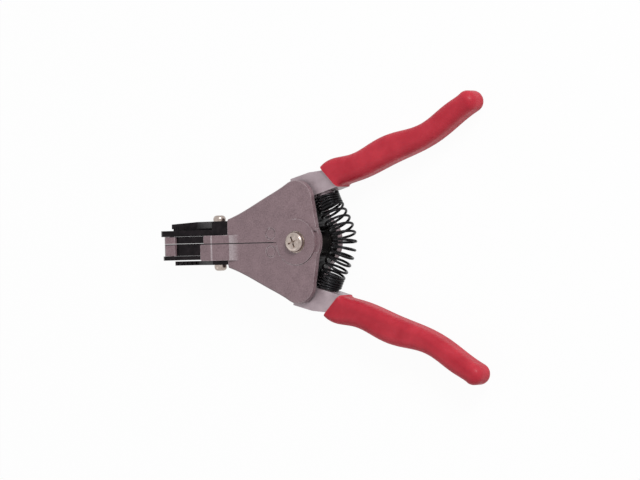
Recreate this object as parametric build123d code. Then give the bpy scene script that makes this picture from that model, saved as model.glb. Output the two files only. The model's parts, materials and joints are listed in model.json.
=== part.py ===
from build123d import *
import math
import os

# Compound-action wire stripper. X runs along the tool (jaws at -X, handles at +X), +Y is the side that
# grips the wire, -Y is the side that strips it, and the tool lies on its far face at Z = 0.
# The origin is the main pivot axis where it meets that face. All lengths are in millimetres.

# Body castings
body_thickness = 20.0
plate_thickness = 3.4
side_wall = 2.5
front_x = -38.0
wall_front_x = -35.0
wall_rear_x = -9.0
front_half_width = 11.4
flank_mid_x = -17.0
flank_mid_y = 20.8
flank_front_slope = 0.32
corner_radius = 8.9
corner_start_deg = 122.0
edge_radius = 1.2
seam_gap = 0.2
plate_fall = 0.9
far_setback = 4.0
far_lap = 0.6

# Main pivot
ear_outer_radius = 10.6
ear_inner_radius = 12.4
far_ear_radius = 13.0
ear_overhang = 0.5
ear_gap = 0.06
ear_rim_gap = 0.15
rear_gap_deg = 24.0
sleeve_radius = 4.0
sleeve_flange_radius = 6.0
sleeve_flange_height = 0.9
screw_radius = 2.5
screw_head_radius = 4.75
screw_head_height = 2.4
washer_radius = 5.0
washer_thickness = 0.5
running_clearance = 0.05
seat_clearance = 0.03

# Ring marks beside the seam
ring_x = -13.8
ring_y = 4.1
ring_radius = 2.8
ring_line = 0.55
ring_depth = 0.3

# Handle levers, their plan measured from the handle's pin
handle_pin_y = 19.5
handle_pin_radius = 2.2
lever_hub_radius = 4.5
lever_side_gap = 0.35
shank_thickness = 10.4
shank_heel_x = -5.2
shank_heel_y = 9.6
shank_shoulder_x = 5.2
shank_shoulder_y = 12.4
shank_outer_end_x = 17.5
shank_outer_end_y = 13.6
shank_inner_deg = 16.3
shank_inner_start_x = 3.0
shank_inner_start_y = 0.35
shank_inner_length = 18.3
shank_end_x = 22.0
shank_end_y = 9.5
arm_root_x = 2.6
arm_root_drop = 2.6
arm_root_radius = 2.4
arm_tip_x = 7.8
arm_tip_y = 8.0
arm_tip_radius = 1.8
tang_width = 5.6
tang_thickness = 7.6
spring_stud_radius = 3.9
spring_stud_length = 2.2

# Dipped handle sleeves: middle line from the handle's pin, with the half width at each place
sleeve_thickness = 13.0
sleeve_corner = 4.2
cuff_corner = 2.4
cuff_x = 16.1
cuff_y = 10.2
cuff_deg = 44.0
cuff_half_width = 6.7
swell_x = 27.0
swell_y = 13.9
swell_half_width = 6.15
belly_x = 41.5
belly_y = 19.45
belly_half_width = 6.45
taper_x = 56.0
taper_y = 24.25
taper_half_width = 5.95
waist_x = 65.6
waist_y = 27.2
waist_half_width = 5.2
flare_x = 75.3
flare_y = 32.5
flare_half_width = 5.05
crook_x = 82.8
crook_y = 37.5
crook_half_width = 4.95
tip_x = 90.3
tip_y = 41.9
tip_deg = 32.0
tip_half_width = 4.95

# Handle spring
spring_mean_radius = 5.7
spring_wire = 1.2
spring_turns = 20
spring_closed_turns = 5
spring_closed_pitch = 1.04
spring_bow = 9.2
spring_seat_along = 7.97
spring_seat_gap = 0.35
points_per_turn = 12

# Necks that reach forward over the moving jaws
neck_rise = 1.0
neck_step = 0.5
neck_crest_x = -46.3
neck_rear_x = -30.0
neck_fall = 0.9
grip_neck_front_x = -51.5
blade_neck_front_x = -53.4
grip_neck_width = 3.9
blade_neck_width = 7.8
neck_clearance = 0.4
neck_corner = 1.0
ramp_front_x = -36.7
ramp_rear_x = -31.8

# Moving upper jaws
jaw_pin_x = -26.0
jaw_pin_z = 10.6
jaw_pin_radius = 1.5
jaw_hub_radius = 3.6
jaw_hub_inner_y = 2.4
jaw_hub_outer_y = 6.0
jaw_open_deg = 6.0
jaw_bar_height = 3.3
jaw_root_x = -31.0
jaw_root_front_x = -37.0
jaw_split_gap = 0.3
jaw_split_y = 0.4
jaw_side_gap = 0.12
grip_jaw_width = 3.75
blade_jaw_width = 5.3
tail_rear_x = -15.0
tail_height = 3.0
ear_width = 1.8
outer_ear_y = 8.5
ear_half_length = 3.5
nose_front_x = -76.6
nose_length = 6.2
nose_rise = 1.6
nose_chamfer = 1.2

# Gripper plates and stripping blades
cut_line_z = 8.0
plate_steel_low_z = 0.6
bar_depth = 7.0
fixed_tip_x = -78.6
moving_tip_x = -78.1
moving_height = 5.5
moving_low_height = 3.4
grip_moving_rear_x = -49.0
blade_moving_rear_x = -40.0
gripper_bar_width = 3.1
gripper_reach = 6.55
gripper_sole = 2.4
root_gap = 0.2
root_drop = 2.4
root_crest_x = -47.8
slope_front_x = -63.9
moving_gripper_width = 2.75
serration_pitch = 1.2
serration_depth = 0.4
blade_setback = 1.6
blade_thickness = 1.95
notch_radii = [0.5, 0.65, 0.8, 1.0, 1.2]
notch_first_x = -74.9
notch_pitch = 2.7
steel_gap = 0.05

# M3 screws of the fixed plates and rivets of the moving ones
small_screw_radius = 1.5
small_head_radius = 2.9
small_head_height = 2.7
plate_screw_x = -45.0
rear_rivet_x = -52.0
rivet_radius = 1.0
rivet_depth = 2.4

# Thrust slider
slider_half_width = 6.8
slider_slot_gap = 0.3
slider_thickness = 3.0
slider_lift = 0.2
slider_nose_length = 2.5
slider_stroke = 2.9
slider_chamfer = 1.6
tail_gap = 0.5

# Small inner springs
anchor_ear_gap = 2.44
closing_spring_y = 9.6
closing_spring_z = 13.4
closing_spring_radius = 1.6
closing_spring_wire = 0.5
closing_spring_turns = 22
anchor_pin_radius = 1.0
anchor_pin_reach = 1.5
torsion_radius = 2.3
torsion_wire = 0.6
torsion_turns = 2.75
torsion_leg = 6.0

# Places worked out from the sizes above
mid_z = body_thickness / 2
near_inner_z = body_thickness - plate_thickness
ear_split_near_z = near_inner_z + plate_thickness / 2
ear_split_far_z = plate_thickness / 2
ear_inner_depth = plate_thickness / 2 + ear_overhang
neck_top_z = body_thickness + neck_rise
jaw_low_z = cut_line_z + jaw_split_gap
jaw_bar_top_z = jaw_low_z + jaw_bar_height
root_top_z = neck_top_z - root_drop
slider_bottom_z = plate_thickness + ear_overhang + slider_lift
slider_top_z = slider_bottom_z + slider_thickness
anchor_reach = ear_inner_radius + anchor_pin_radius + anchor_ear_gap
closing_spring_x = -math.sqrt(anchor_reach**2 - closing_spring_y**2)
far_reach = 200.0


def box_between(low, high):
    """A box from its lowest to its highest corner."""
    size = [high[i] - low[i] for i in range(3)]
    middle = [(high[i] + low[i]) / 2 for i in range(3)]
    return Pos(*middle) * Box(*size)


def upright(x, y, radius, low_z, high_z):
    """A round bar along Z."""
    return Pos(x, y, (low_z + high_z) / 2) * Cylinder(radius, high_z - low_z)


def crosswise(x, z, radius, low_y, high_y):
    """A round bar along Y."""
    return Pos(x, (low_y + high_y) / 2, z) * Rot(90, 0, 0) * Cylinder(radius, high_y - low_y)


def slab(points, low_z, high_z):
    """A flat shape in plan, given by its corners, from one height to another."""
    face = make_face(Polyline(*points, close=True))
    return Pos(0, 0, low_z) * extrude(face, high_z - low_z)


def side_slab(points, low_y, high_y):
    """A flat shape in side view, given by its (x, z) corners, from one Y to another."""
    face = make_face(Polyline(*[(x, low_y, z) for x, z in points], close=True))
    return extrude(face, high_y - low_y, dir=(0, 1, 0))


def on_blade_side(shape):
    """The same shape on the other side of the tool's middle plane."""
    return mirror(shape, Plane.XZ)


def opened(shape):
    """A moving jaw's piece, drawn closed, swung up to its open place about the jaw pin."""
    return shape.rotate(Axis((jaw_pin_x, 0, jaw_pin_z), (0, 1, 0)), jaw_open_deg)


def turned(point, centre, degrees):
    """A point in plan turned about a centre, anticlockwise."""
    angle = math.radians(degrees)
    x = point[0] - centre[0]
    y = point[1] - centre[1]
    new_x = centre[0] + x * math.cos(angle) - y * math.sin(angle)
    new_y = centre[1] + x * math.sin(angle) + y * math.cos(angle)
    return (new_x, new_y)


def body_plan(inset):
    """Half of the body in plan, from the seam to the rounded handle corner, drawn in by an inset."""
    corner = (0, handle_pin_y)
    radius = corner_radius - inset
    arc_start = turned((radius, handle_pin_y), corner, corner_start_deg)
    arc_end = (radius, handle_pin_y)
    rim_start = turned((ear_inner_radius - inset, 0), (0, 0), rear_gap_deg)
    flank_start = (front_x, front_half_width - inset)
    chord = math.atan2(flank_mid_y - front_half_width, flank_mid_x - front_x)
    flank_mid = (flank_mid_x + inset * math.sin(chord), flank_mid_y - inset * math.cos(chord))
    climb = math.radians(corner_start_deg - 90)
    seam = seam_gap / 2
    outline = Line((front_x, seam), flank_start)
    outline += Spline(
        [flank_start, flank_mid, arc_start],
        tangents=[(1, flank_front_slope), (math.cos(climb), math.sin(climb))],
    )
    outline += CenterArc(corner, radius, corner_start_deg, -corner_start_deg)
    outline += Polyline(arc_end, rim_start, (0, rim_start[1]), (0, seam), (front_x, seam))
    return make_face(outline)


def open_bar_top(x):
    """Height of a moving jaw's bar at a place along the tool, with the jaw open."""
    rise = (jaw_pin_x - x) * math.sin(math.radians(jaw_open_deg))
    return jaw_pin_z + (jaw_bar_top_z - jaw_pin_z) + rise


def body_half(neck_width, neck_front_x):
    """A body casting without its pivot ears, on the +Y side: two plates, a side wall and a neck."""
    prism = extrude(body_plan(0), body_thickness)
    outer_edges = [
        edge
        for edge in prism.edges()
        if edge.center().Y > front_half_width * 0.6
        and abs(edge.center().Z - mid_z) > mid_z * 0.9
        and edge.length > corner_radius
    ]
    shell = fillet(outer_edges, edge_radius)
    hollow = Pos(0, 0, plate_thickness) * extrude(body_plan(side_wall), near_inner_z - plate_thickness)
    shell -= hollow
    shell -= box_between((wall_rear_x, -1, plate_thickness), (far_reach, far_reach, near_inner_z))
    shell -= box_between((-far_reach, -1, -1), (wall_front_x, far_reach, near_inner_z))
    behind = box_between((wall_rear_x, 0, -1), (far_reach, far_reach, plate_thickness))
    shell -= behind - Pos(-far_setback, 0, -mid_z) * extrude(body_plan(0), 2 * body_thickness)
    fall = [
        (-ear_outer_radius / 2, body_thickness),
        (ear_inner_radius, body_thickness - plate_fall),
        (ear_inner_radius, body_thickness + 1),
        (-ear_outer_radius / 2, body_thickness + 1),
    ]
    shell -= side_slab(fall, -1, handle_pin_y + corner_radius + 1)
    return shell + neck(neck_width, neck_front_x)


def neck(width, neck_tip_x):
    """The neck over a moving jaw: a raised front block, a level run, and a ramp down to the near plate."""
    profile = [
        (neck_tip_x, neck_top_z + neck_step - neck_fall),
        (neck_crest_x - neck_step, neck_top_z + neck_step),
        (neck_crest_x, neck_top_z),
        (ramp_front_x, neck_top_z),
        (ramp_rear_x, body_thickness),
        (neck_rear_x, body_thickness),
        (neck_rear_x, open_bar_top(neck_rear_x) + neck_clearance),
        (neck_tip_x, open_bar_top(neck_tip_x) + neck_clearance),
    ]
    blank = side_slab(profile, seam_gap / 2, width)
    front_edges = blank.edges().filter_by(Axis.Z).group_by(Axis.X)[0]
    return fillet(front_edges, neck_corner)


def pin_ears():
    """The two ears that carry a moving jaw's pin, hung from the near plate."""
    low_z = jaw_pin_z - ear_half_length
    ears = Part()
    for inner_y in (seam_gap * 2, outer_ear_y):
        low = (jaw_pin_x - ear_half_length, inner_y, low_z)
        high = (jaw_pin_x + ear_half_length, inner_y + ear_width, near_inner_z + 1)
        ears += box_between(low, high)
    return ears


def plate_screw_z():
    """Height of a fixed plate's screw: between the neck's underside and the top of the plate."""
    return (root_top_z + open_bar_top(plate_screw_x) + neck_clearance) / 2


def frame_holes():
    """Bores for the main sleeve, the handle pin, the jaw pin, the anchor pin and the plate screw."""
    cut = upright(0, 0, sleeve_radius + running_clearance, -1, body_thickness + 1)
    pin_top = body_thickness - plate_thickness / 2
    cut += upright(0, handle_pin_y, handle_pin_radius + seat_clearance, -1, pin_top)
    pin_bore = jaw_pin_radius + seat_clearance
    cut += crosswise(jaw_pin_x, jaw_pin_z, pin_bore, 0, outer_ear_y + ear_width + 1)
    anchor_bore = anchor_pin_radius + seat_clearance
    cut += upright(closing_spring_x, closing_spring_y, anchor_bore, near_inner_z - 1, ear_split_near_z)
    screw_bore = small_screw_radius + seat_clearance
    cut += crosswise(plate_screw_x, plate_screw_z(), screw_bore, seam_gap, blade_neck_width + 1)
    ring = upright(ring_x, ring_y, ring_radius, body_thickness - ring_depth, body_thickness + 1)
    ring_core = ring_radius - ring_line
    ring -= upright(ring_x, ring_y, ring_core, body_thickness - ring_depth - 1, body_thickness + 2)
    return cut + ring


def grip_side_frame():
    """The casting that carries the outer pair of pivot ears and the gripping jaw."""
    frame = body_half(grip_neck_width, grip_neck_front_x) + pin_ears()
    frame -= box_between((front_x - 1, -1, -1), (0, far_lap + seam_gap / 2, plate_thickness))
    frame -= upright(0, 0, ear_inner_radius + ear_rim_gap, near_inner_z - 1, ear_split_near_z)
    frame -= upright(0, 0, far_ear_radius + ear_rim_gap, ear_split_far_z, plate_thickness + 1)
    frame += upright(0, 0, ear_outer_radius, ear_split_near_z, body_thickness)
    frame += upright(0, 0, far_ear_radius, 0, ear_split_far_z)
    frame -= frame_holes()
    washer_seat = washer_radius + ear_rim_gap
    frame -= upright(0, 0, washer_seat, body_thickness - washer_thickness, body_thickness + 1)
    frame -= upright(0, 0, sleeve_flange_radius + ear_rim_gap, -1, sleeve_flange_height)
    return frame


def blade_side_frame():
    """The casting that carries the inner pair of pivot ears, the stripping jaw and the lap of the far seam."""
    frame = body_half(blade_neck_width, blade_neck_front_x) + pin_ears()
    frame += box_between((front_x, seam_gap / 2 - far_lap, 0), (-ear_outer_radius, seam_gap, plate_thickness))
    near_ear_top = ear_split_near_z - ear_gap
    far_ear_low = ear_split_far_z + ear_gap
    frame -= upright(0, 0, ear_outer_radius + ear_rim_gap, near_ear_top, body_thickness + 1)
    frame -= upright(0, 0, far_ear_radius + ear_rim_gap, -1, far_ear_low)
    frame += upright(0, 0, ear_inner_radius, near_ear_top - ear_inner_depth, near_ear_top)
    frame += upright(0, 0, far_ear_radius, far_ear_low, far_ear_low + ear_inner_depth)
    frame -= frame_holes()
    return on_blade_side(frame)


def cross_recess(radius, depth):
    """A cross-shaped driver recess, cut down from Z = 0."""
    arm = radius * 0.95
    width = radius * 0.28
    blank = Pos(0, 0, -depth / 2) * (Box(2 * arm, width, depth) + Box(width, 2 * arm, depth))
    point = Pos(0, 0, -depth * 0.7) * Cylinder(width, depth * 1.4)
    return blank + point


def pan_head_screw(shank_radius, head_radius, head_height, shank_length):
    """A pan head screw with a cross recess, its head standing up from Z = 0."""
    head = Pos(0, 0, head_height / 2) * Cylinder(head_radius, head_height)
    top_edge = head.edges().sort_by(Axis.Z)[-1]
    head = fillet(top_edge, head_height * 0.62)
    head -= Pos(0, 0, head_height) * cross_recess(head_radius * 0.6, head_height * 0.5)
    shank = Pos(0, 0, -shank_length / 2) * Cylinder(shank_radius, shank_length)
    tip_edge = shank.edges().sort_by(Axis.Z)[0]
    shank = chamfer(tip_edge, shank_radius * 0.2)
    return head + shank


def main_pivot_screw():
    shank_length = body_thickness - sleeve_flange_height * 3
    turned_head = Rot(0, 0, 20)
    return Pos(0, 0, body_thickness) * turned_head * pan_head_screw(
        screw_radius - seat_clearance, screw_head_radius, screw_head_height, shank_length
    )


def pivot_sleeve_nut():
    """The flanged barrel that both castings turn on, threaded inside for the pivot screw."""
    nut = upright(0, 0, sleeve_radius, 0, body_thickness - washer_thickness - ear_gap)
    nut += upright(0, 0, sleeve_flange_radius, 0, sleeve_flange_height - ear_gap)
    nut -= upright(0, 0, screw_radius, sleeve_flange_height * 2, body_thickness)
    slot_width = screw_radius * 0.5
    nut -= Box(2 * sleeve_radius, slot_width, sleeve_flange_height)
    return nut


def pivot_washer():
    washer = upright(0, 0, washer_radius, body_thickness - washer_thickness, body_thickness)
    return washer - upright(0, 0, screw_radius, 0, body_thickness + 1)


def handle_pin():
    low_z = plate_thickness / 8
    return upright(0, handle_pin_y, handle_pin_radius, low_z, body_thickness - plate_thickness / 2 - ear_gap)


def from_pin(points):
    """Points of a handle, given from its pivot pin, as points in the tool's plan."""
    return [(x, handle_pin_y + y) for x, y in points]


def shank_plan():
    """A handle's bare shank in plan, from the pin out to where the dipped sleeve covers it."""
    slope = math.radians(shank_inner_deg)
    inner_end_x = shank_inner_start_x + shank_inner_length * math.cos(slope)
    inner_end_y = shank_inner_start_y + shank_inner_length * math.sin(slope)
    corners = [(-lever_hub_radius, 0), (shank_heel_x, shank_heel_y), (shank_shoulder_x, shank_shoulder_y)]
    corners += [(shank_outer_end_x, shank_outer_end_y), (shank_end_x, shank_end_y)]
    corners += [(inner_end_x, inner_end_y), (shank_inner_start_x, shank_inner_start_y)]
    return make_face(Polyline(*from_pin(corners), close=True))


def spring_end():
    """Middle of the handle spring's first turn, just clear of the shank's inner edge."""
    slope = math.radians(shank_inner_deg)
    edge_x = shank_inner_start_x + spring_seat_along * math.cos(slope)
    edge_y = handle_pin_y + shank_inner_start_y + spring_seat_along * math.sin(slope)
    clear = spring_wire / 2 + spring_seat_gap
    aim = seat_direction()
    return (edge_x + clear * aim[0], edge_y + clear * aim[1])


def tang_plan(width):
    """The bar inside a dipped sleeve, bent as the sleeve is and a sleeve's half width short of its tip."""
    middle = [(cuff_x, cuff_y), (swell_x, swell_y), (belly_x, belly_y), (taper_x, taper_y)]
    middle += [(waist_x, waist_y), (flare_x, flare_y)]
    return trace(Polyline(*from_pin(middle)), width)


def seat_direction():
    """Which way a spring stud points, square to the shank's inner edge."""
    slope = math.radians(shank_inner_deg)
    return (math.sin(slope), -math.cos(slope))


def lever_blank():
    """A handle lever on the +Y side: hub, thrust arm, shank and tang."""
    hub_low = plate_thickness + ear_overhang + lever_side_gap
    hub_high = near_inner_z - ear_overhang - lever_side_gap
    lever = upright(0, handle_pin_y, lever_hub_radius, hub_low, hub_high)
    low_z = mid_z - shank_thickness / 2
    root = Pos(arm_root_x, handle_pin_y - arm_root_drop) * Circle(arm_root_radius)
    tip = Pos(arm_tip_x, arm_tip_y) * Circle(arm_tip_radius)
    arm_face = make_hull(root.edges() + tip.edges())
    lever += Pos(0, 0, low_z) * extrude(arm_face, shank_thickness)
    lever += Pos(0, 0, low_z) * extrude(shank_plan(), shank_thickness)
    lever += Pos(0, 0, mid_z - tang_thickness / 2) * extrude(tang_plan(tang_width), tang_thickness)
    aim = seat_direction()
    seat = Plane(origin=(*spring_end(), mid_z), z_dir=(aim[0], aim[1], 0))
    lever += seat * Cylinder(spring_stud_radius, spring_stud_length * 2)
    lever -= upright(0, handle_pin_y, handle_pin_radius + running_clearance, 0, body_thickness)
    return lever


def sleeve_section(x, y, degrees, half_width, corner=sleeve_corner):
    """A rounded section across a sleeve, at a place given from the handle's pin."""
    angle = math.radians(degrees)
    across = Plane(
        origin=(x, handle_pin_y + y, mid_z),
        x_dir=(-math.sin(angle), math.cos(angle), 0),
        z_dir=(math.cos(angle), math.sin(angle), 0),
    )
    return across * RectangleRounded(2 * half_width, sleeve_thickness, corner)


def heading(start, end):
    """Direction from one place to another in plan, in degrees."""
    return math.degrees(math.atan2(end[1] - start[1], end[0] - start[0]))


def sleeve_blank(lever):
    """The dipped sleeve over a lever's tang: lofted along its bent middle line to a round tip."""
    cuff = (cuff_x, cuff_y)
    swell = (swell_x, swell_y)
    belly = (belly_x, belly_y)
    taper = (taper_x, taper_y)
    waist = (waist_x, waist_y)
    flare = (flare_x, flare_y)
    crook = (crook_x, crook_y)
    tip = (tip_x, tip_y)
    sections = [
        sleeve_section(*cuff, cuff_deg, cuff_half_width, cuff_corner),
        sleeve_section(*swell, heading(cuff, belly), swell_half_width),
        sleeve_section(*belly, heading(swell, taper), belly_half_width),
        sleeve_section(*taper, heading(belly, waist), taper_half_width),
        sleeve_section(*waist, heading(taper, flare), waist_half_width),
        sleeve_section(*flare, heading(waist, crook), flare_half_width),
        sleeve_section(*crook, heading(flare, tip), crook_half_width),
        sleeve_section(*tip, tip_deg, tip_half_width),
    ]
    return loft(sections) + sleeve_tip() - lever


def sleeve_tip():
    """The round end of a sleeve: half a disc as thick as the sleeve, its rims rounded like its corners."""
    angle = math.radians(tip_deg)
    middle = (tip_x, handle_pin_y + tip_y, mid_z)
    disc = Pos(*middle) * Cylinder(tip_half_width, sleeve_thickness)
    disc = fillet(disc.edges().filter_by(GeomType.CIRCLE), sleeve_corner)
    cut = Plane(origin=middle, z_dir=(math.cos(angle), math.sin(angle), 0))
    return split(disc, bisect_by=cut, keep=Keep.TOP)


def spring_centre(share):
    """The bowed centre line of the handle spring, from -1 at the -Y end to 1 at the +Y end."""
    end_x, end_y = spring_end()
    steep = math.tan(math.radians(shank_inner_deg)) * end_y / spring_bow
    cubic = steep - 2
    square = 1 - cubic
    u = abs(share)
    return (end_x + spring_bow * (1 - square * u**2 - cubic * u**3), share * end_y)


def spring_share(turn):
    """How far along its centre line a turn of the handle spring lies: closed ends, open middle."""
    closed_pitch = spring_wire * spring_closed_pitch / (2 * spring_end()[1])
    closed_span = spring_closed_turns * closed_pitch
    open_turns = spring_turns - 2 * spring_closed_turns
    if turn < spring_closed_turns:
        along = turn * closed_pitch
    elif turn > spring_turns - spring_closed_turns:
        along = 1 - (spring_turns - turn) * closed_pitch
    else:
        step = (turn - spring_closed_turns) / open_turns
        along = closed_span + step * (1 - 2 * closed_span)
    return 2 * along - 1


def bowed_coil_points():
    """Points on the handle spring's wire."""
    points = []
    step = 1e-3
    for i in range(spring_turns * points_per_turn + 1):
        turn = i / points_per_turn
        share = spring_share(turn)
        x, y = spring_centre(share)
        ahead = spring_centre(share + step)
        behind = spring_centre(share - step)
        length = math.dist(ahead, behind)
        along_x = (ahead[0] - behind[0]) / length
        along_y = (ahead[1] - behind[1]) / length
        angle = 2 * math.pi * turn
        side = spring_mean_radius * math.cos(angle)
        up = spring_mean_radius * math.sin(angle)
        points.append((x + along_y * side, y - along_x * side, mid_z + up))
    return points


def wire_along(points, wire):
    """Round wire along a chain of points."""
    path = Polyline(*points)
    start = Plane(origin=points[0], z_dir=path % 0)
    return sweep(start * Circle(wire / 2), path=path, transition=Transition.RIGHT)


def handle_spring():
    return wire_along(bowed_coil_points(), spring_wire)


def frame_closing_spring():
    """The tension spring that draws the two castings together in front of the pivot."""
    half_span = closing_spring_y - anchor_pin_radius - closing_spring_wire
    coil_half = half_span - closing_spring_radius
    points = [(closing_spring_x, -half_span, closing_spring_z)]
    for i in range(closing_spring_turns * points_per_turn + 1):
        turn = i / points_per_turn
        y = -coil_half + 2 * coil_half * turn / closing_spring_turns
        angle = 2 * math.pi * turn
        x = closing_spring_x + closing_spring_radius * math.cos(angle)
        z = closing_spring_z + closing_spring_radius * math.sin(angle)
        points.append((x, y, z))
    points.append((closing_spring_x, half_span, closing_spring_z))
    return wire_along(points, closing_spring_wire)


def anchor_pin():
    low_z = closing_spring_z - anchor_pin_reach
    high_z = ear_split_near_z - seat_clearance
    return upright(closing_spring_x, closing_spring_y, anchor_pin_radius, low_z, high_z)


def jaw_opening_spring():
    """A torsion spring on a jaw pin: one leg on the far plate, one under the jaw's lug."""
    coil_y = jaw_hub_outer_y + torsion_wire * 0.7
    pitch = (outer_ear_y - coil_y - torsion_wire * 0.7) / torsion_turns
    points = [(jaw_pin_x - torsion_radius, coil_y + torsion_turns * pitch, plate_thickness + torsion_wire)]
    steps = int(torsion_turns * points_per_turn)
    for i in range(steps + 1):
        turn = i / points_per_turn
        angle = math.pi + 2 * math.pi * turn
        x = jaw_pin_x + torsion_radius * math.cos(angle)
        z = jaw_pin_z - torsion_radius * math.sin(angle)
        points.append((x, coil_y + (torsion_turns - turn) * pitch, z))
    last = points[-1]
    points.append((last[0] - torsion_leg, last[1], last[2]))
    return wire_along(points, torsion_wire)


def tail_low_z():
    """Underside of a jaw's tail with the jaw closed: just above the slider's flat top."""
    return slider_top_z + tail_gap


def ramp_slope():
    """Fall of the slider's nose for each millimetre, so that its stroke closes the jaws."""
    drop = (tail_rear_x - jaw_pin_x) * math.sin(math.radians(jaw_open_deg))
    return drop / slider_stroke


def jaw_lever(width, inner_y):
    """A moving jaw's lever on the +Y side: bar, root, hub, tail and the lug of its spring."""
    low_z = jaw_low_z
    bar_front_x = nose_front_x + nose_length + steel_gap
    lever = box_between((bar_front_x, inner_y, low_z), (jaw_root_x, width, jaw_bar_top_z))
    lever += box_between((jaw_root_front_x, inner_y, low_z), (jaw_root_x, jaw_hub_outer_y, jaw_bar_top_z))
    lever += crosswise(jaw_pin_x, jaw_pin_z, jaw_hub_radius, jaw_hub_inner_y, jaw_hub_outer_y)
    web_low = (jaw_root_front_x, jaw_hub_inner_y, low_z)
    lever += box_between(web_low, (jaw_pin_x, jaw_hub_outer_y, jaw_bar_top_z))
    tail_low = (jaw_pin_x, jaw_hub_inner_y, tail_low_z())
    lever += box_between(tail_low, (tail_rear_x, jaw_hub_outer_y, tail_low_z() + tail_height))
    lug_low_z = jaw_pin_z - torsion_radius + torsion_wire
    lug_low = (jaw_root_x - torsion_wire * 5, jaw_hub_outer_y - 1, lug_low_z)
    lug_high = (jaw_root_x, jaw_hub_outer_y + torsion_wire * 2, lug_low_z + tail_height)
    lever += box_between(lug_low, lug_high)
    lever -= crosswise(jaw_pin_x, jaw_pin_z, jaw_pin_radius + running_clearance, 0, far_reach)
    lever -= rivet_holes(width - rivet_depth, width + 1)
    return opened(lever)


def rivet_places():
    """Places of a moving jaw's two rivets along X and Z, drawn closed: in the nose and in the lever."""
    front = (nose_front_x + nose_length / 2, jaw_low_z + (jaw_bar_height + nose_rise) / 2)
    rear = (rear_rivet_x, jaw_low_z + jaw_bar_height / 2)
    return front, rear


def rivet_holes(low_y, high_y):
    front, rear = rivet_places()
    bore = rivet_radius + seat_clearance
    return crosswise(*front, bore, low_y, high_y) + crosswise(*rear, bore, low_y, high_y)


def jaw_nose(width, inner_y):
    """The block at the front of a moving jaw, standing above the lever behind it."""
    low = (nose_front_x, inner_y, jaw_low_z)
    high = (nose_front_x + nose_length, width, jaw_bar_top_z + nose_rise)
    nose = box_between(low, high)
    top_front = nose.edges().filter_by(Axis.Y).group_by(Axis.X)[0].sort_by(Axis.Z)[-1]
    nose = chamfer(top_front, nose_chamfer)
    nose -= rivet_holes(width - rivet_depth, width + 1)
    return opened(nose)


def rivet(place, width, plate_width):
    """A flush rivet that holds a moving plate to the nose block or the lever beside it."""
    low_y = width - rivet_depth + seat_clearance
    return opened(crosswise(*place, rivet_radius, low_y, width + steel_gap + plate_width))


def jaw_pin():
    return crosswise(jaw_pin_x, jaw_pin_z, jaw_pin_radius, seam_gap * 3, outer_ear_y + ear_width)


def screw_hole(x, z, low_y, high_y):
    return crosswise(x, z, small_screw_radius + seat_clearance, low_y, high_y)


def teeth(low_x, high_x, low_y, high_y, z, up):
    """A row of small V grooves across a gripping face."""
    rows = Part()
    count = int((high_x - low_x) / serration_pitch)
    for i in range(count):
        x = low_x + (i + 0.5) * serration_pitch
        base = z - up * serration_depth
        corners = [(x - serration_depth, z + up), (x + serration_depth, z + up), (x, base)]
        rows += side_slab(corners, low_y, high_y)
    return rows


def fixed_profile(tip_x_here):
    """Side outline of a fixed plate: a low bar, a slope and a tall root beside the neck."""
    low_z = plate_steel_low_z
    root_rear_x = front_x - root_gap
    return [
        (tip_x_here, cut_line_z),
        (slope_front_x, cut_line_z),
        (root_crest_x, root_top_z),
        (root_rear_x, root_top_z),
        (root_rear_x, cut_line_z),
        (root_crest_x, low_z),
        (tip_x_here + bar_depth / 2, low_z),
        (tip_x_here, cut_line_z - bar_depth / 2),
    ]


def fixed_gripper_plate():
    """The fixed gripper: a root block beside the neck, a sloped arm, a tapered bar and a toothed sole."""
    inner_y = grip_neck_width + steel_gap
    outer_y = inner_y + gripper_reach
    bar_y = outer_y - gripper_bar_width
    taper = gripper_bar_width * 0.3
    plate = side_slab(fixed_profile(fixed_tip_x), bar_y, outer_y)
    taper_corners = [(fixed_tip_x - 1, outer_y - taper), (slope_front_x, outer_y), (fixed_tip_x - 1, outer_y)]
    plate -= slab(taper_corners, 0, body_thickness)
    root_low = (root_crest_x, inner_y, cut_line_z - gripper_sole)
    plate += box_between(root_low, (front_x - root_gap, outer_y, root_top_z))
    sole_low = (fixed_tip_x + taper, inner_y, cut_line_z - gripper_sole)
    plate += box_between(sole_low, (root_crest_x, bar_y, cut_line_z))
    plate -= teeth(fixed_tip_x + taper, slope_front_x, inner_y - 1, bar_y + 1, cut_line_z, 1)
    return plate - screw_hole(plate_screw_x, plate_screw_z(), 0, outer_y + 1)


def moving_profile(tip_x_here, rear_x):
    """Side outline of a moving plate, drawn closed: tall beside the nose block and low behind it."""
    low_z = cut_line_z + jaw_split_gap / 2
    step_x = nose_front_x + nose_length
    return [
        (tip_x_here, low_z),
        (rear_x, low_z),
        (rear_x, low_z + moving_low_height),
        (step_x + moving_height - moving_low_height, low_z + moving_low_height),
        (step_x, low_z + moving_height),
        (tip_x_here + nose_chamfer, low_z + moving_height),
        (tip_x_here, low_z + moving_height - nose_chamfer),
    ]


def moving_gripper_plate():
    """The moving gripper, a toothed bar beside the gripping jaw's nose block."""
    inner_y = grip_jaw_width + steel_gap
    outer_y = inner_y + moving_gripper_width
    bar = side_slab(moving_profile(moving_tip_x, grip_moving_rear_x), inner_y, outer_y)
    bottom_z = cut_line_z + jaw_split_gap / 2
    bar -= teeth(moving_tip_x, slope_front_x, inner_y - 1, outer_y + 1, bottom_z, -1)
    bar -= rivet_holes(0, outer_y + 1)
    return opened(bar)


def notches(low_y, high_y, z):
    """The half-round cutting notches, one for each wire size."""
    cut = Part()
    for i, radius in enumerate(notch_radii):
        cut += crosswise(notch_first_x + i * notch_pitch, z, radius, low_y, high_y)
    return cut


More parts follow.
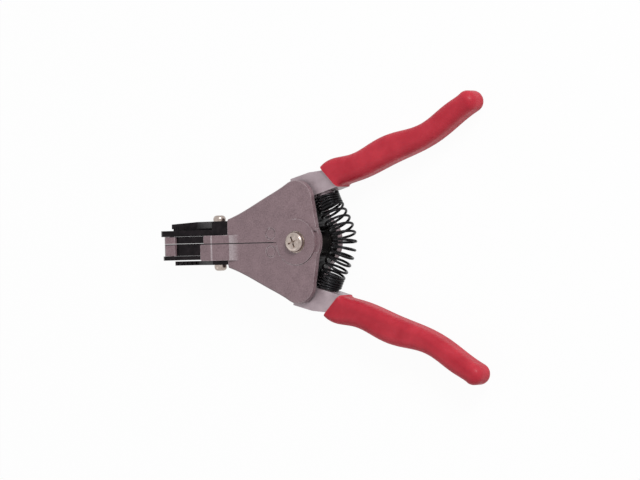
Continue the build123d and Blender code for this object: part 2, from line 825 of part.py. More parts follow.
def fixed_stripping_blade():
    inner_y = blade_neck_width + steel_gap
    outer_y = inner_y + blade_thickness
    blade = side_slab(fixed_profile(fixed_tip_x + blade_setback), inner_y, outer_y)
    blade -= notches(inner_y - 1, outer_y + 1, cut_line_z)
    blade -= screw_hole(plate_screw_x, plate_screw_z(), 0, outer_y + 1)
    return on_blade_side(blade)


def moving_stripping_blade():
    inner_y = blade_jaw_width + steel_gap
    outer_y = inner_y + blade_thickness
    blade = side_slab(moving_profile(moving_tip_x + blade_setback * 0.6, blade_moving_rear_x), inner_y, outer_y)
    blade -= notches(inner_y - 1, outer_y + 1, cut_line_z + jaw_split_gap / 2)
    blade -= rivet_holes(0, outer_y + 1)
    return opened(on_blade_side(blade))


def plate_screw(face_y):
    """A pan head screw through a fixed plate into the neck, its head standing out along +Y."""
    depth = face_y - seam_gap * 2
    screw = pan_head_screw(small_screw_radius, small_head_radius, small_head_height, depth)
    return Pos(plate_screw_x, face_y + seat_clearance, plate_screw_z()) * Rot(-90, 0, 0) * screw


def thrust_slider():
    """The fork round the pivot sleeve that pushes the jaw tails up when the handles close."""
    slot = sleeve_radius + slider_slot_gap
    half = slider_half_width
    cut = slider_chamfer
    rear = arm_tip_x - arm_tip_radius - slider_slot_gap
    nose = tail_rear_x - slider_nose_length
    corners = [(nose, -half), (rear - cut, -half), (rear, cut - half), (rear, -slot), (0, -slot)]
    corners += [(0, slot), (rear, slot), (rear, half - cut), (rear - cut, half), (nose, half)]
    slider = slab(corners, slider_bottom_z, slider_top_z)
    slider -= upright(0, 0, slot, 0, body_thickness)
    ramp_start_x = tail_rear_x + slider_stroke
    ramp_end_z = slider_top_z - (ramp_start_x - nose) * ramp_slope()
    ramp = [(ramp_start_x, slider_top_z), (nose, ramp_end_z), (nose - 1, ramp_end_z)]
    ramp += [(nose - 1, body_thickness), (ramp_start_x, body_thickness)]
    slider -= side_slab(ramp, -far_reach, far_reach)
    return slider


def all_parts():
    grip_lever = lever_blank()
    grip_sleeve = sleeve_blank(grip_lever)
    gripper_face_y = grip_neck_width + steel_gap + gripper_reach
    blade_face_y = blade_neck_width + steel_gap + blade_thickness
    grip_inner_y = jaw_side_gap / 2 + jaw_split_y
    blade_inner_y = jaw_side_gap / 2 - jaw_split_y
    front_rivet, rear_rivet = rivet_places()
    return {
        "grip_side_frame": grip_side_frame(),
        "blade_side_frame": blade_side_frame(),
        "main_pivot_screw": main_pivot_screw(),
        "pivot_sleeve_nut": pivot_sleeve_nut(),
        "pivot_washer": pivot_washer(),
        "thrust_slider": thrust_slider(),
        "grip_side_handle_lever": grip_lever,
        "blade_side_handle_lever": on_blade_side(grip_lever),
        "grip_side_handle_sleeve": grip_sleeve,
        "blade_side_handle_sleeve": on_blade_side(grip_sleeve),
        "grip_side_handle_pin": handle_pin(),
        "blade_side_handle_pin": on_blade_side(handle_pin()),
        "handle_spring": handle_spring(),
        "grip_jaw_lever": jaw_lever(grip_jaw_width, grip_inner_y),
        "blade_jaw_lever": on_blade_side(jaw_lever(blade_jaw_width, blade_inner_y)),
        "grip_jaw_nose": jaw_nose(grip_jaw_width, grip_inner_y),
        "blade_jaw_nose": on_blade_side(jaw_nose(blade_jaw_width, blade_inner_y)),
        "grip_jaw_pin": jaw_pin(),
        "blade_jaw_pin": on_blade_side(jaw_pin()),
        "fixed_gripper_plate": fixed_gripper_plate(),
        "moving_gripper_plate": moving_gripper_plate(),
        "fixed_stripping_blade": fixed_stripping_blade(),
        "moving_stripping_blade": moving_stripping_blade(),
        "fixed_gripper_screw": plate_screw(gripper_face_y),
        "fixed_blade_screw": on_blade_side(plate_screw(blade_face_y)),
        "grip_jaw_front_rivet": rivet(front_rivet, grip_jaw_width, moving_gripper_width),
        "grip_jaw_rear_rivet": rivet(rear_rivet, grip_jaw_width, moving_gripper_width),
        "blade_jaw_front_rivet": on_blade_side(rivet(front_rivet, blade_jaw_width, blade_thickness)),
        "blade_jaw_rear_rivet": on_blade_side(rivet(rear_rivet, blade_jaw_width, blade_thickness)),
        "grip_jaw_opening_spring": jaw_opening_spring(),
        "blade_jaw_opening_spring": on_blade_side(jaw_opening_spring()),
        "frame_closing_spring": frame_closing_spring(),
        "grip_side_spring_anchor_pin": anchor_pin(),
        "blade_side_spring_anchor_pin": on_blade_side(anchor_pin()),
    }


os.makedirs("parts", exist_ok=True)
for name, shape in all_parts().items():
    export_step(shape, f"parts/{name}.step")
    print(name, round(shape.volume, 1))
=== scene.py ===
import json
import math

import bmesh
import bpy
from mathutils import Matrix, Vector


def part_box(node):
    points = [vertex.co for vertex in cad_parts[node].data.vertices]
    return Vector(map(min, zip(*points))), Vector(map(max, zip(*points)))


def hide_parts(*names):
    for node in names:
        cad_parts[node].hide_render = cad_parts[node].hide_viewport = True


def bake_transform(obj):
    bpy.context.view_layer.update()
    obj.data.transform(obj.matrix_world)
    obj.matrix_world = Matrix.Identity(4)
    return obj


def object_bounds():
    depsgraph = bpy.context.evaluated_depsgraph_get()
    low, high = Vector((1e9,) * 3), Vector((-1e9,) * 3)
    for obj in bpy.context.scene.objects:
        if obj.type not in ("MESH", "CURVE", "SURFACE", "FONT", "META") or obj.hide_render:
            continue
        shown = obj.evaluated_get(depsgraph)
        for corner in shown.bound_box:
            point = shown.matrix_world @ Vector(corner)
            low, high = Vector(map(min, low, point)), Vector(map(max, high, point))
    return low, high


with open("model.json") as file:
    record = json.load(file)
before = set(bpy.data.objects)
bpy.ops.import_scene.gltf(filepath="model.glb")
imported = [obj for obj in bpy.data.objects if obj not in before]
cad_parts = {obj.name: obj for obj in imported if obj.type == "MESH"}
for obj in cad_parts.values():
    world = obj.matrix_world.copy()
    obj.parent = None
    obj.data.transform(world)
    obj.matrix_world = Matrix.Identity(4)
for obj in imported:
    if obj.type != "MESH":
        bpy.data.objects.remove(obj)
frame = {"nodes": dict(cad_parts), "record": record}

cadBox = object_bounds()
print("frame loaded:", len(frame["nodes"]), "nodes")

mm = 0.001
scene = bpy.context.scene
scene.view_settings.view_transform = "Standard"


# shader groups that several finishes share
def newGroup(name, inputs, outputs):
    tree = bpy.data.node_groups.new(name, "ShaderNodeTree")
    for label, value in inputs:
        socket = tree.interface.new_socket(label, in_out="INPUT", socket_type="NodeSocketFloat")
        socket.default_value = value
    for label in outputs:
        tree.interface.new_socket(label, in_out="OUTPUT", socket_type="NodeSocketFloat")
    return tree, tree.nodes.new("NodeGroupInput"), tree.nodes.new("NodeGroupOutput")


def feed(tree, value, socket):
    if isinstance(value, (int, float, tuple)):
        socket.default_value = value
    else:
        tree.links.new(value, socket)


def mathNode(tree, operation, a, b=0.0, clamp=False):
    node = tree.nodes.new("ShaderNodeMath")
    node.operation = operation
    node.use_clamp = clamp
    feed(tree, a, node.inputs[0])
    feed(tree, b, node.inputs[1])
    return node.outputs[0]


def rising(tree, value, gain, base):    # base, plus a share of a mask
    return mathNode(tree, "ADD", mathNode(tree, "MULTIPLY", value, gain), base)


def parts(tree, vector):    # the X, Y and Z of a vector
    node = tree.nodes.new("ShaderNodeSeparateXYZ")
    tree.links.new(vector, node.inputs[0])
    return node.outputs


def noiseNode(tree, where, scale, detail=3.0, roughness=0.5):
    node = tree.nodes.new("ShaderNodeTexNoise")
    feed(tree, where, node.inputs["Vector"])
    feed(tree, scale, node.inputs["Scale"])
    node.inputs["Detail"].default_value = detail
    node.inputs["Roughness"].default_value = roughness
    return node.outputs["Fac"]


def spread(tree, value, low, high):    # stretches what lies between low and high out to 0..1
    node = tree.nodes.new("ShaderNodeMapRange")
    feed(tree, value, node.inputs["Value"])
    feed(tree, low, node.inputs["From Min"])
    feed(tree, high, node.inputs["From Max"])
    return node.outputs["Result"]


wearShape = {
    "samples": 4,
    "bendLow": 0.02,         # how far the rounded normal turns away
    "bendHigh": 0.22,
    "patchDetail": 4.0,
    "patchLow": 0.35,
    "patchHigh": 0.62,
}


def makeEdgeWear():    # 1 along sharp outer edges, broken up by noise
    s = wearShape
    tree, given, result = newGroup("edgeWear", [("Width", 0.5 * mm), ("Patch Scale", 700.0)], ["Mask"])
    place = tree.nodes.new("ShaderNodeTexCoord").outputs["Object"]
    bevel = tree.nodes.new("ShaderNodeBevel")
    bevel.samples = s["samples"]
    tree.links.new(given.outputs["Width"], bevel.inputs["Radius"])
    geometry = tree.nodes.new("ShaderNodeNewGeometry")
    dot = tree.nodes.new("ShaderNodeVectorMath")
    dot.operation = "DOT_PRODUCT"
    tree.links.new(bevel.outputs["Normal"], dot.inputs[0])
    tree.links.new(geometry.outputs["Normal"], dot.inputs[1])
    bent = mathNode(tree, "SUBTRACT", 1.0, dot.outputs["Value"])
    edge = spread(tree, bent, s["bendLow"], s["bendHigh"])
    noise = noiseNode(tree, place, given.outputs["Patch Scale"], s["patchDetail"])
    patch = spread(tree, noise, s["patchLow"], s["patchHigh"])
    tree.links.new(mathNode(tree, "MULTIPLY", edge, patch, True), result.inputs["Mask"])
    return tree


mottleShape = {
    "blotchDetail": 4.0,
    "speckDetail": 2.0,
    "roughness": 0.6,
    "grainRoughness": 0.7,
    "blotchRange": (0.3, 0.7),
    "speckRange": (0.32, 0.68),
}


def makeMottle():    # blotches at two sizes and a fine grain height
    s = mottleShape
    scales = [("Blotch Scale", 260.0), ("Speck Scale", 1300.0), ("Grain Scale", 3200.0)]
    tree, given, result = newGroup("mottle", scales, ["Blotch", "Speck", "Grain"])
    place = tree.nodes.new("ShaderNodeTexCoord").outputs["Object"]
    blotch = noiseNode(tree, place, given.outputs["Blotch Scale"], s["blotchDetail"], s["roughness"])
    speck = noiseNode(tree, place, given.outputs["Speck Scale"], s["speckDetail"], s["roughness"])
    grain = noiseNode(tree, place, given.outputs["Grain Scale"], s["speckDetail"], s["grainRoughness"])
    tree.links.new(spread(tree, blotch, *s["blotchRange"]), result.inputs["Blotch"])
    tree.links.new(spread(tree, speck, *s["speckRange"]), result.inputs["Speck"])
    tree.links.new(grain, result.inputs["Grain"])
    return tree


def makeBrush():    # fine lines drawn out along X, for ground steel
    tree, given, result = newGroup("brush", [("Line Scale", 5000.0), ("Stretch", 0.02)], ["Lines"])
    place = tree.nodes.new("ShaderNodeTexCoord").outputs["Object"]
    stretch = tree.nodes.new("ShaderNodeCombineXYZ")
    tree.links.new(given.outputs["Stretch"], stretch.inputs[0])
    stretch.inputs[1].default_value = 1.0
    stretch.inputs[2].default_value = 1.0
    drawnOut = tree.nodes.new("ShaderNodeVectorMath")
    drawnOut.operation = "MULTIPLY"
    tree.links.new(place, drawnOut.inputs[0])
    tree.links.new(stretch.outputs[0], drawnOut.inputs[1])
    lines = noiseNode(tree, drawnOut.outputs[0], given.outputs["Line Scale"])
    tree.links.new(lines, result.inputs["Lines"])
    return tree


steepest = {"inside": 0.5, "top": 0.6}    # the Z above which a normal counts as upward


def makeInsideShade():    # 1 on upward faces that lie low in the body, the inner faces that get painted shade
    tree, given, result = newGroup("inside", [("Height", 10 * mm)], ["Mask"])
    place = tree.nodes.new("ShaderNodeTexCoord")
    where = parts(tree, place.outputs["Object"])
    facing = parts(tree, place.outputs["Normal"])
    low = mathNode(tree, "LESS_THAN", where["Z"], given.outputs["Height"])
    upward = mathNode(tree, "GREATER_THAN", facing["Z"], steepest["inside"])
    tree.links.new(mathNode(tree, "MULTIPLY", low, upward), result.inputs["Mask"])
    return tree


def makeSeamLine():    # 1 on upper faces along the joint between the castings, in front of the pivot
    limits = [("Half Width", 0.22 * mm), ("End", -12.2 * mm)]
    tree, given, result = newGroup("seamLine", limits, ["Mask"])
    place = tree.nodes.new("ShaderNodeTexCoord")
    where = parts(tree, place.outputs["Object"])
    facing = parts(tree, place.outputs["Normal"])
    upward = mathNode(tree, "GREATER_THAN", facing["Z"], steepest["top"])
    away = mathNode(tree, "ABSOLUTE", where["Y"])
    narrow = mathNode(tree, "LESS_THAN", away, given.outputs["Half Width"])
    ahead = mathNode(tree, "LESS_THAN", where["X"], given.outputs["End"])
    line = mathNode(tree, "MULTIPLY", narrow, ahead)
    tree.links.new(mathNode(tree, "MULTIPLY", line, upward), result.inputs["Mask"])
    return tree


def makeRampHighlight():    # 1 on upper faces that slope down towards the handles, fading at the foot of the neck: where a painted highlight goes
    limits = [("Slope", 0.12), ("Full Until", -35.2 * mm), ("Gone By", -31.7 * mm)]
    tree, given, result = newGroup("rampHighlight", limits, ["Mask"])
    place = tree.nodes.new("ShaderNodeTexCoord")
    where = parts(tree, place.outputs["Object"])
    facing = parts(tree, place.outputs["Normal"])
    fade = spread(tree, where["X"], given.outputs["Gone By"], given.outputs["Full Until"])
    sloping = mathNode(tree, "GREATER_THAN", facing["X"], given.outputs["Slope"])
    upward = mathNode(tree, "GREATER_THAN", facing["Z"], steepest["top"])
    sloped = mathNode(tree, "MULTIPLY", sloping, upward)
    tree.links.new(mathNode(tree, "MULTIPLY", sloped, fade), result.inputs["Mask"])
    return tree


def makeNearMiddle():    # 1 within a distance of the tool's middle plane
    tree, given, result = newGroup("nearMiddle", [("Reach", 14.5 * mm)], ["Mask"])
    where = parts(tree, tree.nodes.new("ShaderNodeTexCoord").outputs["Object"])
    away = mathNode(tree, "ABSOLUTE", where["Y"])
    tree.links.new(mathNode(tree, "LESS_THAN", away, given.outputs["Reach"]), result.inputs["Mask"])
    return tree


edgeWear = makeEdgeWear()
mottle = makeMottle()
brush = makeBrush()
inside = makeInsideShade()
nearMiddle = makeNearMiddle()
rampHighlight = makeRampHighlight()
seamLine = makeSeamLine()
print("shader groups made")


def useGroup(tree, group, **values):
    node = tree.nodes.new("ShaderNodeGroup")
    node.node_tree = group
    for label, value in values.items():
        node.inputs[label.replace("_", " ")].default_value = value
    return node.outputs


def marksFor(tree, look):
    blotch, speck, grain = look["scales"]
    return useGroup(tree, mottle, Blotch_Scale=blotch, Speck_Scale=speck, Grain_Scale=grain)


def wearFor(tree, look):
    return useGroup(tree, edgeWear, Width=look["wearWidth"], Patch_Scale=look["wearPatch"])["Mask"]


def blendColour(tree, share, low, high):
    node = tree.nodes.new("ShaderNodeMix")
    node.data_type = "RGBA"
    feed(tree, share, node.inputs["Factor"])
    for value, socket in ((low, node.inputs[6]), (high, node.inputs[7])):
        if isinstance(value, tuple):
            socket.default_value = (*value, 1.0)
        else:
            tree.links.new(value, socket)
    return node.outputs[2]


def bumpNode(tree, height, strength, distance):
    node = tree.nodes.new("ShaderNodeBump")
    node.inputs["Strength"].default_value = strength
    node.inputs["Distance"].default_value = distance
    tree.links.new(height, node.inputs["Height"])
    return node.outputs["Normal"]


def newMaterial(name, **constants):
    material = bpy.data.materials.new(name)
    material.use_nodes = True
    shader = material.node_tree.nodes["Principled BSDF"]
    for label, value in constants.items():
        shader.inputs[label.replace("_", " ")].default_value = value
    return material, material.node_tree, shader


def setSurface(tree, shader, look, colour, speck, height):    # colour, roughness and bump, on every finish
    tree.links.new(colour, shader.inputs["Base Color"])
    rough = rising(tree, speck, look["roughSpeck"], look["roughness"])
    tree.links.new(rough, shader.inputs["Roughness"])
    tree.links.new(bumpNode(tree, height, look["bump"], look["bumpDepth"]), shader.inputs["Normal"])


# in every look: linear colours, and the scales of blotches, specks and grain
castingLook = {
    "paint": (0.222, 0.142, 0.158),
    "paintLight": (0.330, 0.232, 0.252),
    "paintDark": (0.146, 0.088, 0.100),
    # pale bare metal for worn edges, also the colour of the painted highlight on the ramp
    "bare": (0.56, 0.50, 0.52),
    # painted shade: near-black for the low inner faces, the same dark also used on the seam joint
    "inside": (0.012, 0.011, 0.012),
    "scales": (230.0, 1500.0, 3400.0),
    "speckShare": 0.55,
    "wearWidth": 0.55 * mm,
    "wearPatch": 620.0,
    "wearShare": 0.85,
    "wearMetal": 0.6,
    "seamGuard": 1.0 * mm,        # no wear this near the seam
    # painted highlight on the ramp at the foot of the neck: its base share and speck break-up
    "rampHighlightShare": 0.34,
    "rampHighlightSpeck": 0.28,
    "roughness": 0.36,
    "roughSpeck": 0.16,
    "bump": 0.22,
    "bumpDepth": 0.12 * mm,
    "bumpSpeck": 0.8,
}


def makeCastingPaint():
    look = castingLook
    material, tree, shader = newMaterial("castingPaint", Coat_Weight=0.12, Coat_Roughness=0.35)
    marks = marksFor(tree, look)
    body = blendColour(tree, marks["Blotch"], look["paintDark"], look["paint"])
    lightSpecks = mathNode(tree, "MULTIPLY", marks["Speck"], look["speckShare"])
    body = blendColour(tree, lightSpecks, body, look["paintLight"])
    seamZone = useGroup(tree, nearMiddle, Reach=look["seamGuard"])["Mask"]
    worn = mathNode(tree, "MULTIPLY", wearFor(tree, look), mathNode(tree, "SUBTRACT", 1.0, seamZone))
    # painted highlight on the ramp, broken up by specks; rubbed holds both the real edge wear and this
    # painted highlight, both lightening towards the pale bare colour
    rampHighlightAmount = rising(tree, marks["Speck"], look["rampHighlightSpeck"], look["rampHighlightShare"])
    sloped = mathNode(tree, "MULTIPLY", useGroup(tree, rampHighlight)["Mask"], rampHighlightAmount)
    rubbed = mathNode(tree, "MAXIMUM", mathNode(tree, "MULTIPLY", worn, look["wearShare"]), sloped)
    colour = blendColour(tree, rubbed, body, look["bare"])
    # painted shade on low inner upward faces, together with the dark joint along the seam, both near-black
    dark = mathNode(tree, "MAXIMUM", useGroup(tree, inside)["Mask"], useGroup(tree, seamLine)["Mask"])
    colour = blendColour(tree, dark, colour, look["inside"])
    tree.links.new(mathNode(tree, "MULTIPLY", worn, look["wearMetal"]), shader.inputs["Metallic"])
    speckHeight = mathNode(tree, "MULTIPLY", marks["Speck"], look["bumpSpeck"])
    height = mathNode(tree, "ADD", marks["Grain"], speckHeight)
    setSurface(tree, shader, look, colour, marks["Speck"], height)
    return material


leverLook = {
    "metal": (0.475, 0.385, 0.415),
    "metalDark": (0.330, 0.258, 0.282),
    "bright": (0.60, 0.57, 0.58),
    # painted shade for lever parts near the middle plane
    "inside": (0.012, 0.011, 0.012),
    "scales": (180.0, 2200.0, 4200.0),
    "wearWidth": 0.5 * mm,
    "wearPatch": 800.0,
    "metallic": 0.35,
    "wearMetal": 0.4,
    "roughness": 0.34,
    "roughSpeck": 0.14,
    "bump": 0.2,
    "bumpDepth": 0.1 * mm,
}


def makeLeverMetal():
    look = leverLook
    material, tree, shader = newMaterial("leverMetal", Coat_Weight=0.08)
    marks = marksFor(tree, look)
    body = blendColour(tree, marks["Blotch"], look["metalDark"], look["metal"])
    worn = wearFor(tree, look)
    colour = blendColour(tree, worn, body, look["bright"])
    # painted shade: lever parts within reach of the tool's middle plane turn near-black
    colour = blendColour(tree, useGroup(tree, nearMiddle)["Mask"], colour, look["inside"])
    tree.links.new(rising(tree, worn, look["wearMetal"], look["metallic"]), shader.inputs["Metallic"])
    setSurface(tree, shader, look, colour, marks["Speck"], marks["Grain"])
    return material


vinylLook = {
    "red": (0.560, 0.034, 0.056),
    "deep": (0.420, 0.015, 0.032),
    "chalk": (0.640, 0.085, 0.105),
    "scales": (95.0, 700.0, 2600.0),
    "wearWidth": 0.9 * mm,
    "wearPatch": 380.0,
    "wearShare": 0.45,
    "roughness": 0.46,
    "roughSpeck": 0.12,
    "bump": 0.12,
    "bumpDepth": 0.3 * mm,
    "bumpGrain": 0.25,
}


def makeDippedVinyl():
    look = vinylLook
    material, tree, shader = newMaterial(
        "dippedVinyl", Coat_Weight=0.08, Coat_Roughness=0.16, Specular_IOR_Level=0.22,
        Subsurface_Weight=0.06, Subsurface_Scale=0.001,
    )
    marks = marksFor(tree, look)
    body = blendColour(tree, marks["Blotch"], look["deep"], look["red"])
    scuffed = mathNode(tree, "MULTIPLY", wearFor(tree, look), look["wearShare"])
    colour = blendColour(tree, scuffed, body, look["chalk"])
    grainHeight = mathNode(tree, "MULTIPLY", marks["Grain"], look["bumpGrain"])
    height = mathNode(tree, "ADD", marks["Speck"], grainHeight)
    setSurface(tree, shader, look, colour, marks["Speck"], height)
    return material


steelLook = {
    "oxide": (0.006, 0.005, 0.006),
    "oxideDull": (0.017, 0.013, 0.015),
    "rubbed": (0.34, 0.32, 0.33),
    "scales": (420.0, 2600.0, 6000.0),
    "wearWidth": 0.28 * mm,
    "wearPatch": 1200.0,
    "wearShare": 0.12,
    "metallic": 0.88,
    "wearMetal": 0.1,
    "roughness": 0.30,
    "roughSpeck": 0.15,
    "bump": 0.15,
    "bumpDepth": 0.06 * mm,
}


def makeBlackSteel():
    look = steelLook
    material, tree, shader = newMaterial("blackSteel")
    marks = marksFor(tree, look)
    body = blendColour(tree, marks["Blotch"], look["oxide"], look["oxideDull"])
    worn = wearFor(tree, look)
    colour = blendColour(tree, mathNode(tree, "MULTIPLY", worn, look["wearShare"]), body, look["rubbed"])
    tree.links.new(rising(tree, worn, look["wearMetal"], look["metallic"]), shader.inputs["Metallic"])
    setSurface(tree, shader, look, colour, marks["Speck"], marks["Grain"])
    return material


springLook = {
    "dark": (0.006, 0.006, 0.007),
    "dull": (0.022, 0.021, 0.023),
    "scales": (300.0, 2400.0, 5200.0),
    "roughness": 0.22,
    "roughSpeck": 0.15,
    "bump": 0.1,
    "bumpDepth": 0.05 * mm,
}


def makeSpringSteel():
    look = springLook
    material, tree, shader = newMaterial("springSteel", Metallic=0.9)
    marks = marksFor(tree, look)
    colour = blendColour(tree, marks["Blotch"], look["dark"], look["dull"])
    setSurface(tree, shader, look, colour, marks["Speck"], marks["Grain"])
    return material


zincLook = {
    "dull": (0.33, 0.27, 0.24),
    "plate": (0.50, 0.43, 0.39),
    "bright": (0.78, 0.72, 0.66),
    "scales": (600.0, 2600.0, 7000.0),
    "wearWidth": 0.4 * mm,
    "wearPatch": 900.0,
    "wearShare": 0.35,
    "roughness": 0.2,
    "roughSpeck": 0.12,
    "bump": 0.12,
    "bumpDepth": 0.05 * mm,
}


def makeZinc():
    look = zincLook
    material, tree, shader = newMaterial("zincPlate", Metallic=1.0)
    marks = marksFor(tree, look)
    colour = blendColour(tree, marks["Blotch"], look["dull"], look["plate"])
    rubbed = mathNode(tree, "MULTIPLY", wearFor(tree, look), look["wearShare"])
    colour = blendColour(tree, rubbed, colour, look["bright"])
    setSurface(tree, shader, look, colour, marks["Speck"], marks["Grain"])
    return material


groundLook = {
    "dark": (0.40, 0.39, 0.38),
    "light": (0.62, 0.61, 0.59),
    "lineScale": 5200.0,
    "stretch": 0.03,
    "roughness": 0.26,
    "roughSpeck": 0.15,
    "bump": 0.12,
    "bumpDepth": 0.05 * mm,
}


def makeGroundSteel():
    look = groundLook
    material, tree, shader = newMaterial("groundSteel", Metallic=1.0)
    lines = useGroup(tree, brush, Line_Scale=look["lineScale"], Stretch=look["stretch"])["Lines"]
    colour = blendColour(tree, lines, look["dark"], look["light"])
    setSurface(tree, shader, look, colour, lines, lines)
    return material


finishes = {
    "casting": makeCastingPaint(),
    "lever": makeLeverMetal(),
    "vinyl": makeDippedVinyl(),
    "black_steel": makeBlackSteel(),
    "zinc": makeZinc(),
    "spring_steel": makeSpringSteel(),
    "pin_steel": makeGroundSteel(),
}
for entry in frame["record"]["subparts"]:
    target = frame["nodes"][entry["node"]]
    target.data.materials.clear()
    target.data.materials.append(finishes[entry["material_slot"]])


# wire springs
def tubeMesh(name, points, radius, sides=10):
    mesh = bmesh.new()
    rings = []
    normal = None
    for i, point in enumerate(points):
        ahead = points[min(i + 1, len(points) - 1)]
        behind = points[max(i - 1, 0)]
        along = (ahead - behind).normalized()
        if normal is None:
            normal = along.orthogonal().normalized()
        normal = (normal - along * normal.dot(along)).normalized()
        across = along.cross(normal)
        ring = []
        for k in range(sides):
            angle = 2 * math.pi * k / sides
            outward = math.cos(angle) * normal + math.sin(angle) * across
            ring.append(mesh.verts.new(point + radius * outward))
        rings.append(ring)
    for first, second in zip(rings, rings[1:]):
        for k in range(sides):
            j = (k + 1) % sides
            face = mesh.faces.new((first[k], first[j], second[j], second[k]))
            face.smooth = True
    mesh.faces.new(list(reversed(rings[0])))
    mesh.faces.new(rings[-1])
    bmesh.ops.recalc_face_normals(mesh, faces=mesh.faces)
    data = bpy.data.meshes.new(name)
    mesh.to_mesh(data)
    mesh.free()
    piece = bpy.data.objects.new(name, data)
    scene.collection.objects.link(piece)
    return piece


returnSpring = {
    "wire": 1.2 * mm,
    "meanRadius": 5.7 * mm,
    "turns": 20,
    "closedTurns": 5,
    "closedPitch": 1.04,          # share of the wire
    "bow": 9.2 * mm,
    "shankStart": Vector((3.0, 19.85, 0.0)) * mm,
    "shankSlope": math.radians(16.3),
    "seatAlong": 7.97 * mm,
    "seatGap": 0.35 * mm,
    "heldTurns": 1.5,             # open turns in each of the two end lengths
    "stepsPerTurn": 28,
}
springHeight = (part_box("handle_spring")[0][2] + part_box("handle_spring")[1][2]) / 2


def springEnd():    # middle of the last turn, just clear of the shank's inner edge
    s = returnSpring
    slope = s["shankSlope"]
    clear = s["wire"] / 2 + s["seatGap"]
    edge = s["shankStart"] + s["seatAlong"] * Vector((math.cos(slope), math.sin(slope), 0.0))
    return edge + clear * Vector((math.sin(slope), -math.cos(slope), 0.0))


def springCentre(share):    # the bowed centre line, from -1 at the -Y end to 1 at the +Y end
    s = returnSpring
    end = springEnd()
    cubic = math.tan(s["shankSlope"]) * end.y / s["bow"] - 2
    u = abs(share)
    x = end.x + s["bow"] * (1 - (1 - cubic) * u**2 - cubic * u**3)
    return Vector((x, share * end.y, springHeight))


def springShare(turn):    # how far along the centre line a turn lies: closed ends, open middle
    s = returnSpring
    pitch = s["wire"] * s["closedPitch"] / (2 * springEnd().y)
    closed = s["closedTurns"] * pitch
    if turn < s["closedTurns"]:
        return 2 * turn * pitch - 1
    if turn > s["turns"] - s["closedTurns"]:
        return 1 - 2 * (s["turns"] - turn) * pitch
    step = (turn - s["closedTurns"]) / (s["turns"] - 2 * s["closedTurns"])
    return 2 * (closed + step * (1 - 2 * closed)) - 1


def springWirePoint(turn):
    s = returnSpring
    share = springShare(turn)
    step = 1e-3
    centre = springCentre(share)
    along = (springCentre(share + step) - springCentre(share - step)).normalized()
    side = Vector((along.y, -along.x, 0.0))
    angle = 2 * math.pi * turn
    return centre + s["meanRadius"] * (math.cos(angle) * side + math.sin(angle) * Vector((0, 0, 1)))


def buildReturnSpring():
    s = returnSpring
    openTurn = s["closedTurns"] + s["heldTurns"]
    half = s["turns"] / 2
    spans = [
        ("blade_side_spring_end", 0.0, openTurn, "blade_frame", "blade_handle"),
        ("blade_side_spring_middle", openTurn, half, "pivot", "blade_frame"),
        ("grip_side_spring_middle", half, s["turns"] - openTurn, "pivot", "grip_frame"),
        ("grip_side_spring_end", s["turns"] - openTurn, s["turns"], "grip_frame", "grip_handle"),
    ]
    for name, first, last, near, far in spans:
        count = max(2, round((last - first) * s["stepsPerTurn"]))
        points = [springWirePoint(first + (last - first) * i / count) for i in range(count + 1)]
        piece = tubeMesh(name, points, s["wire"] / 2)
        piece.data.materials.append(finishes["spring_steel"])
        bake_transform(piece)
        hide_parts("handle_spring")
    print("return spring:", len(spans), "lengths of wire")


buildReturnSpring()

closingSpring = {
    "wire": 0.5 * mm,
    "radius": 1.6 * mm,
    "turns": 22,
    "x": -12.6 * mm,
    "z": 13.4 * mm,
    "halfSpan": 8.1 * mm,
    "stepsPerTurn": 20,
    "sides": 8,
}


def buildClosingSpring():
    s = closingSpring
    coilHalf = s["halfSpan"] - s["radius"]
    halves = [
        ("closing_spring_grip_half", 1, "grip_frame"),
        ("closing_spring_blade_half", -1, "blade_frame"),
    ]
    for name, sign, body in halves:
        points = []
        count = s["turns"] // 2 * s["stepsPerTurn"]
        for i in range(count + 1):
            share = i / count
            angle = math.pi * s["turns"] * share
            x = s["x"] + s["radius"] * math.cos(angle)
            z = s["z"] + s["radius"] * math.sin(angle)
            points.append(Vector((x, sign * coilHalf * share, z)))
        points.append(Vector((s["x"], sign * s["halfSpan"], s["z"])))
        piece = tubeMesh(name, points, s["wire"] / 2, s["sides"])
        piece.data.materials.append(finishes["spring_steel"])
        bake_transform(piece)
        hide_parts("frame_closing_spring")
    print("closing spring done")


buildClosingSpring()


# floor, light and camera
studio = {
    "floorSize": 3.0,
    "floorGap": 0.2 * mm,
    "floorColour": (0.86, 0.86, 0.86, 1.0),
    "floorRoughness": 0.9,
    "floorGlow": 0.96,            # share of the floor that is plain white to the camera and to gloss
    "white": (1.0, 1.0, 1.0, 1.0),
    "world": 0.42,
    "aim": (0.02, 0.0, 0.0),
    "keyPlace": (0.85, 0.75, 0.8),
    "keySize": 0.5,
    "keyPower": 12.0,
    "fillPlace": (-0.7, -0.5, 0.9),
    "fillSize": 0.9,
    "fillPower": 1.2,
}


def backgroundShare(tree):    # 1 for camera, glossy and transmission rays
    path = tree.nodes.new("ShaderNodeLightPath")
    total = mathNode(tree, "ADD", path.outputs["Is Camera Ray"], path.outputs["Is Glossy Ray"])
    return mathNode(tree, "ADD", total, path.outputs["Is Transmission Ray"], True)


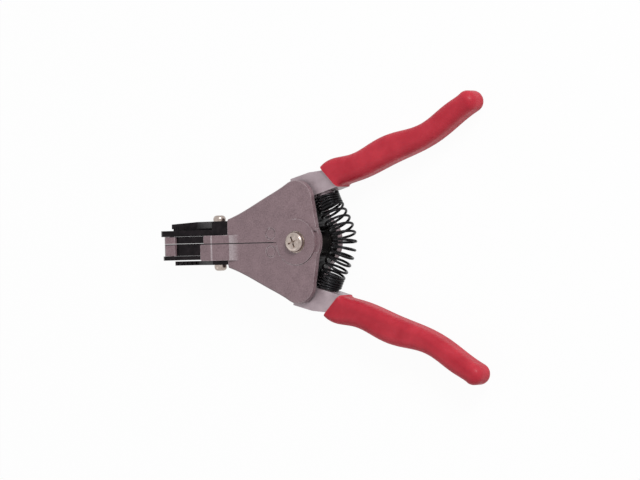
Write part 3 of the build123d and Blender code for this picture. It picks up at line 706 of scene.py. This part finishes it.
def buildFloor():
    size = studio["floorSize"]
    data = bpy.data.meshes.new("floor")
    z = cadBox[0][2] - studio["floorGap"]
    corners = [(-size, -size, z), (size, -size, z), (size, size, z), (-size, size, z)]
    data.from_pydata(corners, [], [(0, 1, 2, 3)])
    floor = bpy.data.objects.new("floor", data)
    scene.collection.objects.link(floor)
    material, tree, shader = newMaterial(
        "paleFloor", Base_Color=studio["floorColour"], Roughness=studio["floorRoughness"]
    )
    glow = tree.nodes.new("ShaderNodeEmission")
    glow.inputs["Color"].default_value = studio["white"]
    mix = tree.nodes.new("ShaderNodeMixShader")
    share = mathNode(tree, "MULTIPLY", backgroundShare(tree), studio["floorGlow"])
    tree.links.new(share, mix.inputs[0])
    tree.links.new(shader.outputs[0], mix.inputs[1])
    tree.links.new(glow.outputs[0], mix.inputs[2])
    tree.links.new(mix.outputs[0], tree.nodes["Material Output"].inputs["Surface"])
    data.materials.append(material)


def areaLight(name, place, size, power):
    lamp = bpy.data.lights.new(name, "AREA")
    lamp.shape = "DISK"
    lamp.size = size
    lamp.energy = power
    item = bpy.data.objects.new(name, lamp)
    item.location = place
    towards = Vector(studio["aim"]) - Vector(place)
    item.rotation_euler = towards.to_track_quat("-Z", "Y").to_euler()
    scene.collection.objects.link(item)


def buildWorld():
    world = bpy.data.worlds.new("studio")
    world.use_nodes = True
    tree = world.node_tree
    ambient = tree.nodes["Background"]
    ambient.inputs["Color"].default_value = studio["white"]
    ambient.inputs["Strength"].default_value = studio["world"]
    seen = tree.nodes.new("ShaderNodeBackground")
    seen.inputs["Color"].default_value = studio["white"]
    mix = tree.nodes.new("ShaderNodeMixShader")
    tree.links.new(backgroundShare(tree), mix.inputs[0])
    tree.links.new(ambient.outputs[0], mix.inputs[1])
    tree.links.new(seen.outputs[0], mix.inputs[2])
    tree.links.new(mix.outputs[0], tree.nodes["World Output"].inputs["Surface"])
    scene.world = world


buildFloor()
buildWorld()
areaLight("keyLight", studio["keyPlace"], studio["keySize"], studio["keyPower"])
areaLight("fillLight", studio["fillPlace"], studio["fillSize"], studio["fillPower"])
print("floor and lights done")

view = {
    "tilt": math.radians(34.0),       # towards the handles
    "roll": math.radians(1.4),
    "distance": 2.0,
    "mmPerPixel": 0.46,
    "pivotTop": Vector((0.0, 0.0, 20.0)) * mm,
    "pivotPixel": (295.3, 242.0),
    "frame": (640, 480),
    "sensor": 36.0,
}


def buildCamera():
    t, roll = view["tilt"], view["roll"]
    right = Vector((math.cos(t), 0.0, -math.sin(t)))
    up = Vector((0.0, 1.0, 0.0))
    back = right.cross(up)
    rolledRight = right * math.cos(roll) - up * math.sin(roll)
    rolledUp = right * math.sin(roll) + up * math.cos(roll)
    scale = view["mmPerPixel"] * mm
    dx = view["frame"][0] / 2 - view["pivotPixel"][0]
    dy = view["pivotPixel"][1] - view["frame"][1] / 2
    target = view["pivotTop"] + scale * (dx * rolledRight + dy * rolledUp)
    data = bpy.data.cameras.new("camera")
    data.sensor_width = view["sensor"]
    data.lens = view["sensor"] * view["distance"] / (view["frame"][0] * scale)
    camera = bpy.data.objects.new("camera", data)
    place = target + view["distance"] * back
    turn = Matrix((rolledRight, rolledUp, back)).transposed()
    camera.matrix_world = Matrix.Translation(place) @ turn.to_4x4()
    scene.collection.objects.link(camera)
    scene.camera = camera


buildCamera()
print("camera done")
